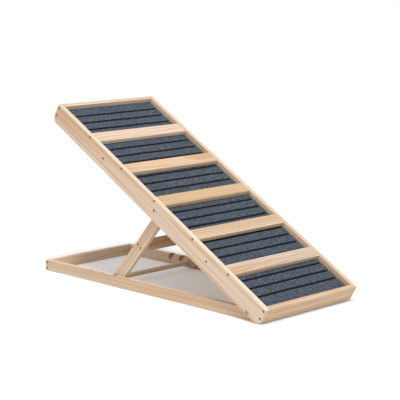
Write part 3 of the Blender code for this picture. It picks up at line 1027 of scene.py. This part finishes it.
@dataclass
class FootBar:
    """The round bar that stands in the notches."""

    places: Places
    finish: PineFinish = field(default_factory=PineFinish)
    tone: Tone = Tone(0.50, 0.97)
    pith: Span = (30.0 * MM, 12.0 * MM)
    seed: int = 7
    sides: int = 48
    end_round: float = 1.0 * MM
    round_steps: int = 3
    sharp_from: float = 40.0

    def build(self) -> None:
        """Make the bar where its solid lies."""
        radius, length = round_size("prop_foot_bar")
        turns = [math.pi / 2 * k / self.round_steps for k in range(self.round_steps + 1)]
        end = [(radius - self.end_round * (1 - math.sin(turn)), self.end_round * (1 - math.cos(turn)))
               for turn in turns]
        profile = [(0.0, 0.0), *end, *[(r, length - z) for r, z in reversed(end)], (0.0, length)]
        piece = turned("prop_foot_bar_dowel", profile, self.sides)
        foot = self.places.foot_bar
        place = Matrix.Translation((foot.x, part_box("prop_foot_bar")[0].y, foot.z))
        piece.data.transform(place @ Matrix.Rotation(-math.pi / 2, 4, "X"))
        smooth_edges(piece, self.sharp_from)
        board = Board(foot, self.places.grain_turn(Grain.ACROSS), self.pith, self.tone, self.seed)
        give(piece, self.finish.material("pine_foot_bar", board), "prop", ["prop_foot_bar"])


@dataclass
class Panel:
    """The thin panel that carries the carpet: its solid's own shape in bare plywood."""

    places: Places
    finish: PlywoodFinish = field(default_factory=PlywoodFinish)

    def build(self) -> None:
        """Dress the panel's solid."""
        panel = frame["nodes"]["deck_panel"]
        panel.data.materials.clear()
        finish = self.finish.material("panel_plywood", self.places.grain_turn(Grain.SLOPE))
        panel.data.materials.append(finish)
        LOG.info("deck_panel: dressed")


@dataclass
class Carpet:
    """The felt carpet under the slats: broad flat ribs with a narrow groove between each two."""

    places: Places
    finish: CarpetFinish = field(default_factory=CarpetFinish)
    rib_pitch: float = 35.2 * MM
    groove_width: float = 7.8 * MM
    groove_wall: float = 0.8 * MM
    groove_depth: float = 2.6 * MM
    first_groove: float = 39.5 * MM
    grooves: int = 26
    wander: float = 2.6 * MM
    shoulder: float = 8.0 * MM
    shoulder_drop: float = 0.55 * MM
    steps_per_rib: int = 28
    step_across: float = 12.0 * MM
    crowding: float = 0.80
    end_share: float = 0.1
    sway_counts: Span = (3.7, 9.0)
    fall_power: float = 2.0
    seed: int = 5

    def build(self) -> None:
        """Make the carpet in the space that its solid holds."""
        to_deck = self.places.deck_frame.inverted()
        corners = [to_deck @ vert.co for vert in frame["nodes"]["deck_carpet"].data.vertices]
        low, high = [Vector([pick(corner[k] for corner in corners) for k in range(3)]) for pick in (min, max)]
        size = high - low
        values = {"Length": size.x, "Width": size.y, "Thickness": size.z,
                  "Steps along": math.ceil(size.x / self.rib_pitch) * self.steps_per_rib,
                  "Steps across": math.ceil(size.y / self.step_across)}
        for name in ("rib_pitch", "groove_width", "groove_wall", "groove_depth", "first_groove", "grooves",
                     "wander", "shoulder", "shoulder_drop", "crowding", "end_share", "seed"):
            values[name.replace("_", " ").capitalize()] = float(getattr(self, name))
        felt = self.finish.material("carpet_felt")
        carpet = placed("deck_carpet_felt", bpy.data.meshes.new("deck_carpet_felt"))
        grow(carpet, self.tree(felt, values), values)
        carpet.data.transform(self.places.deck_frame @ Matrix.Translation((low + high) / 2))
        give(carpet, felt, "deck", ["deck_carpet"])

    def tree(self, felt: Material, values: Iterable[str]) -> NodeTree:
        """Build the Geometry Nodes tree that makes the ribbed felt, centred on the origin.

        Args:
            felt: the material that it sets.
            values: the names of its inputs.

        Returns:
            The tree.
        """
        kinds = {name: "Int" if name.startswith("Steps") else "Float" for name in values}
        graph = new_tree("ribbed_felt", kinds)
        given = graph.add("NodeGroupInput").outputs
        slab = graph.add("GeometryNodeMeshCube", {
            "Size": graph.joined(given["Length"], given["Width"], given["Thickness"]),
            "Vertices X": given["Steps along"], "Vertices Y": given["Steps across"], "Vertices Z": 2})
        x, y, z = graph.parts(graph.add("GeometryNodeInputPosition").outputs[0])
        crowded = self._crowded(graph, given, x)
        depth, fall = self._groove(graph, given, crowded, y)
        is_top = graph.math("GREATER_THAN", z, 0.0)
        drop = graph.plus(graph.times(fall, given["Shoulder drop"]),
                          graph.times(depth, given["Groove depth"]))
        moved = graph.joined(crowded, y, graph.minus(z, graph.times(drop, is_top)))
        # How deep in a groove each point lies, which the felt paints as shade.
        marked = graph.add("GeometryNodeStoreNamedAttribute", {
            "Geometry": slab.outputs[0], "Name": "groove", "Value": graph.times(depth, is_top)},
            data_type="FLOAT", domain="POINT")
        shaped = graph.add("GeometryNodeSetPosition", {"Geometry": marked.outputs[0], "Position": moved})
        smooth = graph.add("GeometryNodeSetShadeSmooth", {"Geometry": shaped.outputs[0]})
        return graph.deliver(smooth.outputs[0], felt)

    @staticmethod
    def _turns(graph: Graph, given: Any, x: Socket) -> Socket:
        """Return how many rib pitches X lies past the first groove."""
        start = graph.plus(x, graph.over(given["Length"], 2.0))
        return graph.over(graph.minus(start, given["First groove"]), given["Rib pitch"])

    def _crowded(self, graph: Graph, given: Any, x: Socket) -> Socket:
        """Draw the vertices together at each groove, and keep the carpet's two ends.

        Args:
            graph: the tree's nodes.
            given: the tree's inputs.
            x: where a vertex lies along the carpet.

        Returns:
            Where it goes.
        """
        wave = graph.math("SINE", graph.times(self._turns(graph, given, x), math.tau))
        pull = graph.times(graph.over(given["Rib pitch"], math.tau), given["Crowding"])
        inset = graph.minus(graph.over(given["Length"], 2.0), graph.unsigned(x))
        fade = graph.over(inset, graph.times(given["Rib pitch"], given["End share"]), clamp=True)
        return graph.minus(x, graph.times(wave, pull, fade))

    def _groove(self, graph: Graph, given: Any, x: Socket, y: Socket) -> tuple[Socket, Socket]:
        """Find how a point lies to its nearest groove, each of which sways a little.

        Args:
            graph: the tree's nodes.
            given: the tree's inputs.
            x: where the point lies along the carpet.
            y: where it lies across it.

        Returns:
            How deep in the groove, and how far down its rib's shoulder, each from 0 to 1.
        """
        turns, pitch = self._turns(graph, given, x), given["Rib pitch"]
        rib = graph.math("ROUND", turns)
        per_rib, per_metre = self.sway_counts
        spot = graph.joined(graph.times(rib, per_rib), graph.times(y, per_metre), given["Seed"])
        sway = graph.minus(graph.noise(spot, 1.0, 1.0, 0.5), 0.5)
        shift = graph.over(graph.times(sway, given["Wander"]), pitch)
        off = graph.times(graph.unsigned(graph.minus(graph.minus(turns, rib), shift)), pitch)
        last = graph.minus(given["Grooves"], 0.5)
        outside = graph.plus(graph.math("LESS_THAN", turns, -0.5), graph.math("GREATER_THAN", turns, last))
        off = graph.plus(off, graph.times(outside, pitch))
        edge = graph.minus(graph.over(given["Groove width"], 2.0), off)
        depth = graph.over(edge, given["Groove wall"], clamp=True)
        away = graph.over(off, given["Shoulder"], clamp=True)
        return depth, graph.math("POWER", graph.minus(1.0, away), self.fall_power)


@dataclass
class Screws:
    """The countersunk screws, one pattern laid at every screw's place by Geometry Nodes."""

    finish: SteelFinish = DARK_SCREW
    sides: int = 24
    shank_share: float = 0.53
    dish: float = 0.12 * MM
    dish_rim: Span = (0.6, 0.4)
    recess: float = 3.6 * MM
    recess_depth: float = 1.5 * MM
    recess_taper: float = 0.45
    thread_pitch: float = 1.8 * MM
    thread_shape: tuple[Span, ...] = ((0.3, 0.0), (0.5, 0.05 * MM), (0.7, 0.05 * MM))
    thread_start: float = 9.0 * MM
    thread_end: float = 1.6
    sharp_from: float = 32.0
    seed: int = 3

    def build(self) -> None:
        """Make one mesh of screws for each body and length."""
        steel = self.finish.material("dark_screw_steel")
        kinds: dict[tuple[str, int], list[str]] = {}
        for name, thing in frame["nodes"].items():
            if "screw" in name:
                kind = body_of(thing)[0], round(round_size(name)[1] / MM)
                kinds.setdefault(kind, []).append(name)
        for (body, length), names in sorted(kinds.items()):
            pattern = self.pattern(names[0])
            piece = self.laid(f"{body}_screws_{length}", sorted(names), pattern, steel)
            bpy.data.objects.remove(pattern)
            give(piece, steel, body, sorted(names))

    def pattern(self, node: str) -> Object:
        """Make one screw, its head's face at the origin and its point down Z.

        Args:
            node: the screw's solid.

        Returns:
            The screw.
        """
        head, length = round_size(node)
        if "leg_screw" in node:
            low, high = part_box(node)
            head = max(high.x - low.x, high.z - low.z) / 2
        shank, pitch = head * self.shank_share, self.thread_pitch
        z = shank - head - self.thread_start
        profile = [(0.0, -self.dish), (head * self.dish_rim[0], -self.dish * self.dish_rim[1]), (head, 0.0),
                   (shank, shank - head), (shank, z)]
        while z - pitch > -length + self.thread_end * shank:
            profile += [(shank - dip, z - share * pitch) for share, dip in self.thread_shape]
            z -= pitch
        profile += [(shank, -length + shank), (0.0, -length)]
        screw = turned("screw_pattern", profile[::-1], self.sides)
        recess = recess_outline(Recess.CROSS, self.recess)
        cut_with(screw, prism("screw_recess", recess, -self.recess_depth, MM, self.recess_taper))
        smooth_edges(screw, self.sharp_from)
        return screw

    def laid(self, name: str, nodes: Sequence[str], pattern: Object, steel: Material) -> Object:
        """Lay the pattern at each screw's outer end, each turned its own way about its axis.

        Args:
            name: the piece's name.
            nodes: the screws' solids.
            pattern: the screw to lay.
            steel: its material.

        Returns:
            The piece, a plain mesh.
        """
        mesh = bpy.data.meshes.new(name)
        mesh.from_pydata([outer_end(node) for node in nodes], [], [])
        ways = mesh.attributes.new("outwards", "FLOAT_VECTOR", "POINT")
        outwards = [(0.0, float(side_of(node).value), 0.0) for node in nodes]
        ways.data.foreach_set("vector", [part for way in outwards for part in way])
        piece = placed(name, mesh)
        grow(piece, self.tree(), {"Screw": pattern, "Turn": math.tau, "Seed": self.seed, "Steel": steel})
        return piece

    @staticmethod
    def tree() -> NodeTree:
        """Build the tree that lays a screw on every point, facing the point's own way.

        Returns:
            The tree.
        """
        graph = new_tree("laid_screws", {"Points": "Geometry", "Screw": "Object", "Turn": "Float",
                                         "Seed": "Int", "Steel": "Material"})
        given = graph.add("NodeGroupInput").outputs
        way = graph.add("GeometryNodeInputNamedAttribute", {"Name": "outwards"}, data_type="FLOAT_VECTOR")
        facing = graph.add("FunctionNodeAlignRotationToVector", {"Vector": way.outputs[0]}, axis="Z")
        spin = graph.add("FunctionNodeRandomValue", data_type="FLOAT")
        for name, key in (("Max", "Turn"), ("Seed", "Seed")):
            socket = next(each for each in spin.inputs if each.name == name and each.enabled)
            graph.feed(socket, given[key])
        angle = next(socket for socket in spin.outputs if socket.enabled)
        twist = graph.add("FunctionNodeAxisAngleToRotation", {"Axis": (0.0, 0.0, 1.0), "Angle": angle})
        both = {"Rotation": facing.outputs[0], "Rotate By": twist.outputs[0]}
        rotation = graph.add("FunctionNodeRotateRotation", both, rotation_space="LOCAL")
        source = graph.add("GeometryNodeObjectInfo", {"Object": given["Screw"]}, transform_space="ORIGINAL")
        laid = graph.add("GeometryNodeInstanceOnPoints", {
            "Points": given["Points"], "Instance": source.outputs["Geometry"],
            "Rotation": rotation.outputs[0]})
        return graph.deliver(laid.outputs[0], given["Steel"])


@dataclass
class AxisBolts:
    """The bolts that the deck folds on and the prop turns on, with their nuts."""

    bright: SteelFinish = BRIGHT_ZINC
    dark: SteelFinish = DULL_STEEL
    sides: int = 40
    sharp_from: float = 30.0
    fold_head: float = 3.5 * MM
    fold_dome: tuple[float, ...] = (0, 15, 30, 45, 60, 72, 82)
    fold_rim: float = 0.93
    fold_grip: float = 17.0 * MM
    thread_pitch: float = 1.0 * MM
    thread_root: float = 0.90
    tip: float = 0.8 * MM
    tip_share: float = 0.8
    socket_size: float = 5.4 * MM
    socket_depth: float = 2.4 * MM
    nut_bore: float = 0.33
    nut_chamfer: float = 0.9 * MM
    nut_face: float = 0.98
    nut_reach: float = 1.01
    prop_shank: float = 2.5 * MM
    prop_head: float = 1.8 * MM
    prop_dome: tuple[float, ...] = (0, 20, 40, 58, 74)
    round_nut: float = 4.5 * MM
    round_nut_height: float = 5.0 * MM
    round_nut_edge: float = 0.5 * MM
    cross_size: float = 4.4 * MM
    cross_depth: float = 1.3 * MM
    cross_taper: float = 0.5

    def build(self) -> None:
        """Make every bolt and nut from its solid's sizes."""
        zinc = self.bright.material("zinc_plate")
        dark = self.dark.material("dark_bolt_steel")
        for side in ("near", "far"):
            self.fold_bolt(f"fold_axis_bolt_{side}", zinc)
            self.nut(f"fold_axis_nut_{side}", zinc)
            self.prop_bolt(f"prop_axis_bolt_{side}", dark)

    def fit(self, piece: Object, node: str, steel: Material, body: str) -> None:
        """Lay a piece made along Z, outwards up, along Y with its outer end at its solid's, and dress it.

        Args:
            piece: the piece.
            node: its solid.
            steel: its material.
            body: the body that it rides on.
        """
        lay = Matrix.Rotation(-side_of(node).value * math.pi / 2, 4, "X")
        piece.data.transform(Matrix.Translation(outer_end(node)) @ lay)
        smooth_edges(piece, self.sharp_from)
        give(piece, steel, body, [node])

    @staticmethod
    def dome(radius: float, height: float, angles: Sequence[float]) -> list[Span]:
        """Return a profile over a domed head, from its middle outwards, at angles in degrees."""
        turns = [math.radians(angle) for angle in angles]
        return [(radius * math.sin(turn), -height * (1 - math.cos(turn))) for turn in turns]

    def thread(self, radius: float, start: float, end: float) -> list[Span]:
        """Draw a profile of small ridges.

        Args:
            radius: the thread's radius.
            start: the height that it starts at.
            end: the height that it goes down to.

        Returns:
            Its (radius, z) points.
        """
        points, z = [], start
        while z - self.thread_pitch > end:
            points += [(radius, z), (radius * self.thread_root, z - 0.5 * self.thread_pitch)]
            z -= self.thread_pitch
        return [*points, (radius, z)]

    def fold_bolt(self, node: str, zinc: Material) -> None:
        """Make a button-headed bolt with a six-sided socket, its shank threaded at its tip.

        Args:
            node: the bolt's solid.
            zinc: its material.
        """
        head, length = round_size(node)
        shank, height = head / 2, self.fold_head
        profile = [*self.dome(head, height, self.fold_dome), (head, -height * self.fold_rim), (head, -height),
                   (shank, -height), *self.thread(shank, -height - self.fold_grip, -length + self.tip),
                   (shank * self.tip_share, -length), (0.0, -length)]
        piece = turned(f"{node}_button_head", profile[::-1], self.sides)
        socket = recess_outline(Recess.HEXAGON, self.socket_size)
        cut_with(piece, prism("socket", socket, -self.socket_depth, MM))
        self.fit(piece, node, zinc, "base")

    def nut(self, node: str, zinc: Material) -> None:
        """Make a six-sided nut with its corners turned down and a round bore.

        Args:
            node: the nut's solid.
            zinc: its material.
        """
        half_flats, height = round_size(node)
        flats = 2 * half_flats
        reach, bore, face = flats / math.sqrt(3), flats * self.nut_bore, half_flats * self.nut_face
        piece = prism(f"{node}_hexagon", ring(reach, 6), -height, 0.0)
        rim = reach * self.nut_reach
        cone = [(0.0, -height), (face, -height), (rim, -height + self.nut_chamfer),
                (rim, -self.nut_chamfer), (face, 0.0), (0.0, 0.0)]
        cut_with(piece, turned("nut_cone", cone, self.sides), "INTERSECT")
        hole = [(0.0, -height - MM), (bore, -height - MM), (bore, MM), (0.0, MM)]
        cut_with(piece, turned("nut_bore", hole, self.sides))
        self.fit(piece, node, zinc, "base")

    def prop_bolt(self, node: str, dark: Material) -> None:
        """Make a low-headed bolt with a cross recess, and the round nut on its end.

        Args:
            node: the bolt's solid, nut and all.
            dark: its material.
        """
        head, length = round_size(node)
        nut, edge, nut_top = self.round_nut, self.round_nut_edge, self.round_nut_height - length
        profile = [*self.dome(head, self.prop_head, self.prop_dome), (head, -self.prop_head),
                   (self.prop_shank, -self.prop_head), (self.prop_shank, nut_top), (nut - edge, nut_top),
                   (nut, nut_top - edge), (nut, -length + self.tip), (nut - self.tip, -length),
                   (0.0, -length)]
        piece = turned(f"{node}_low_head", profile[::-1], self.sides)
        recess = recess_outline(Recess.CROSS, self.cross_size)
        cut_with(piece, prism("bolt_recess", recess, -self.cross_depth, MM, self.cross_taper))
        self.fit(piece, node, dark, "deck")


# The studio

@dataclass(frozen=True)
class Lamp:
    """A soft square lamp: its name, place, size in metres and power in watts."""

    name: str
    place: Spot
    size: float
    power: float


@dataclass
class Studio:
    """A white floor, soft lamps and the photograph's view."""

    view_azimuth: float = math.radians(44.04)
    view_elevation: float = math.radians(9.97)
    view_roll: float = math.radians(0.45)
    view_distance: float = 4.2506
    aim: Spot = (0.0293, 0.0, 0.2704)
    lens: float = 126.52
    sensor: float = 36.0
    clip: Span = (0.05, 100.0)
    sky_strength: float = 0.42
    key_strength: float = 1.82
    key_spread: float = math.radians(16.0)
    key_from: Spot = (0.34, -0.24, 0.90)
    lamps: tuple[Lamp, ...] = (
        Lamp("top", (-0.7, -0.5, 1.9), 1.0, 4.0),
        Lamp("back", (-2.6, 2.8, 1.1), 2.4, 14.0),
        Lamp("fill", (3.2, -2.0, 0.9), 2.4, 26.0),
    )
    floor_colour: Colour = (0.870, 0.880, 0.890)
    floor_roughness: float = 0.9
    floor_glow: float = 0.17
    floor_size: float = 40.0

    def build(self) -> None:
        """Make the floor, the sky, the lamps and the camera."""
        self.floor()
        self.sky()
        key = bpy.data.lights.new("key", "SUN")
        key.energy, key.angle = self.key_strength, self.key_spread
        self.aimed(placed("key", key), -Vector(self.key_from))
        for lamp in self.lamps:
            light = bpy.data.lights.new(lamp.name, "AREA")
            light.size, light.energy = lamp.size, lamp.power
            hung = placed(lamp.name, light)
            hung.location = lamp.place
            self.aimed(hung, Vector(self.aim) - Vector(lamp.place))
        self.camera()
        bpy.context.scene.view_settings.view_transform = "Standard"

    @staticmethod
    def aimed(lamp: Object, way: Vector) -> None:
        """Turn a lamp to shine one way."""
        lamp.rotation_euler = way.to_track_quat("-Z", "Y").to_euler()

    def floor(self) -> None:
        """Lay a pale floor that is white to the camera where no shadow falls."""
        builder = bmesh.new()
        bmesh.ops.create_grid(builder, x_segments=1, y_segments=1, size=self.floor_size / 2)
        floor = solid_from(builder, "studio_floor")
        made, graph = new_material("studio_floor")
        glow = graph.times(graph.seen(), self.floor_glow)
        graph.dress({"Base Color": self.floor_colour, "Roughness": self.floor_roughness,
                     "Specular IOR Level": 0.0, "Emission Color": WHITE, "Emission Strength": glow})
        floor.data.materials.append(made)

    def sky(self) -> None:
        """Light everything evenly, with a white background for the camera and for reflections."""
        world = bpy.data.worlds.new("studio_sky")
        bpy.context.scene.world = world
        world.use_nodes = True
        graph = Graph(world.node_tree)
        background = world.node_tree.nodes["Background"]
        graph.feed(background.inputs["Color"], WHITE)
        strength = graph.plus(self.sky_strength, graph.times(graph.seen(), 1.0 - self.sky_strength))
        graph.feed(background.inputs["Strength"], strength)

    def camera(self) -> None:
        """Stand the camera where the photograph was taken from."""
        turn, lift, roll = self.view_azimuth, self.view_elevation, self.view_roll
        forward = Vector((0.0, math.cos(lift), -math.sin(lift)))
        forward.rotate(Euler((0.0, 0.0, turn)))
        right = Vector((math.cos(turn), math.sin(turn), 0.0))
        up = right.cross(forward)
        tilted_right = right * math.cos(roll) + up * math.sin(roll)
        tilted_up = up * math.cos(roll) - right * math.sin(roll)
        data = bpy.data.cameras.new("camera")
        data.lens, data.sensor_width = self.lens, self.sensor
        data.clip_start, data.clip_end = self.clip
        camera = placed("camera", data)
        stand = Matrix.Translation(Vector(self.aim) - forward * self.view_distance)
        camera.matrix_world = stand @ Matrix((tilted_right, tilted_up, -forward)).transposed().to_4x4()
        bpy.context.scene.camera = camera


def main() -> None:
    """Build the studio, then every sub-assembly."""
    logging.basicConfig(level=logging.INFO, format="%(message)s")
    places = Places.from_frame()
    wood = Boards(places), FootBar(places), Panel(places)
    for part in (Studio(), *wood, Carpet(places), Screws(), AxisBolts()):
        part.build()


if __name__ == "__main__":
    main()
